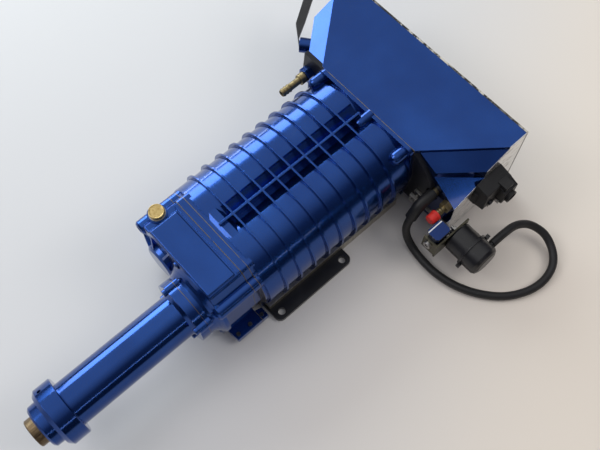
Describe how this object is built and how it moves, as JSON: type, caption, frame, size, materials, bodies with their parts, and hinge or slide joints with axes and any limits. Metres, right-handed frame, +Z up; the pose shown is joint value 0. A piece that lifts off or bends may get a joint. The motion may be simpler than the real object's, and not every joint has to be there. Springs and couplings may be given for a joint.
{
  "type": "supercharger",
  "caption": "Twin-rotor blower with a ribbed case, long drive snout, geared rotors, and a flared inlet plenum with a vacuum-actuated bypass valve.",
  "frame": {"origin": "centre of the outlet flange's bottom face, midway between the rotor axes", "axes": "+X from the drive snout's nose to the inlet mouth, +Z up away from the outlet flange, +Y away from the snout's side"},
  "size_m": [0.5572, 0.4305, 0.113],
  "materials": {
    "bare": "machined",
    "black_paint": "satin",
    "black_plastic": "moulded",
    "blue": "glossy candy blue",
    "brass": "polished",
    "bronze": "worn",
    "dark_steel": "black oxide",
    "red": "moulded",
    "rotor": "coated",
    "rubber": "matte",
    "steel": "machined",
    "zinc": "olive zinc plate"
  },
  "bodies": {
    "housing": {"actuator_bracket": "zinc", "actuator_front_shell": "black_paint", "actuator_rear_shell": "black_paint", "actuator_spring": "steel", "adapter_plate": "black_paint", "bearing_outer_races": "steel", "bearing_plate": "blue", "bracket_bolt": "steel", "canister_studs": "steel", "capped_barb": "brass", "cover_foot_screws": "dark_steel", "cover_screws": "dark_steel", "elbow_barb": "brass", "flange_screws": "dark_steel", "foot_bracket": "black_paint", "foot_bracket_screws": "dark_steel", "gear_cover": "blue", "inlet_plenum": "blue", "mouth_gasket": "rubber", "nose_retainer": "blue", "oil_fill_plug": "brass", "oil_plug_washer": "steel", "outlet_flange": "bare", "pressure_sensor": "black_plastic", "rear_needle_bearings": "steel", "rear_strut": "black_paint", "red_vacuum_cap": "red", "rotor_case": "blue", "rotor_shaft_seals": "rubber", "rubber_elbow": "rubber", "sensor_clip": "steel", "sensor_screw": "steel", "side_barb": "brass", "side_barb_nut": "blue", "snout_housing": "blue", "vacuum_hose": "rubber", "valve_bush": "brass", "valve_sleeve": "steel"},
    "input_line": {"input_shaft": "steel", "drive_sleeve": "bronze", "input_bearing_inner_races": "steel", "coupling_hub": "steel", "coupling_pins": "steel"},
    "drive_line": {"drive_rotor": "rotor", "drive_rotor_shaft": "steel", "drive_timing_gear": "steel", "drive_bearing_inner_race": "steel", "isolator_disc": "black_plastic"},
    "driven_line": {"driven_rotor": "rotor", "driven_rotor_shaft": "steel", "driven_timing_gear": "steel", "driven_bearing_inner_race": "steel"},
    "bypass": {"bypass_shaft": "steel", "bypass_lever": "steel", "lever_nut": "dark_steel", "butterfly_disc": "brass", "butterfly_screws": "steel"},
    "plunger": {"actuator_rod": "steel", "rod_fork": "steel", "diaphragm_piston": "steel"}
  },
  "joints": [
    {"name": "drive_spin", "type": "hinge", "parent": "housing", "child": "drive_line", "pos_m": [0, -0.028, 0.061], "axis": [1, 0, 0], "continuous": true},
    {"name": "driven_spin", "type": "hinge", "parent": "housing", "child": "driven_line", "pos_m": [0, 0.028, 0.061], "axis": [1, 0, 0], "continuous": true},
    {"name": "input_spin", "type": "hinge", "parent": "housing", "child": "input_line", "pos_m": [-0.25, -0.028, 0.061], "axis": [1, 0, 0], "continuous": true},
    {"name": "bypass_swing", "type": "hinge", "parent": "housing", "child": "bypass", "pos_m": [0.158, -0.095, 0.028], "axis": [1, 0, 0], "range_deg": [0, 66], "stiffness_Nm_per_rad": 0.15, "springref_deg": -20.05},
    {"name": "actuator_stroke", "type": "slide", "parent": "housing", "child": "plunger", "axis": [0, -1, 0], "range_m": [0, 0.01307], "deforming": ["actuator_spring"]}
  ],
  "couplings": [
    {"joint": "driven_spin", "follows": "drive_spin", "ratio": -1},
    {"joint": "input_spin", "follows": "drive_spin", "ratio": 1},
    {"joint": "actuator_stroke", "follows": "bypass_swing", "m_per_rad": 0.011346}
  ]
}
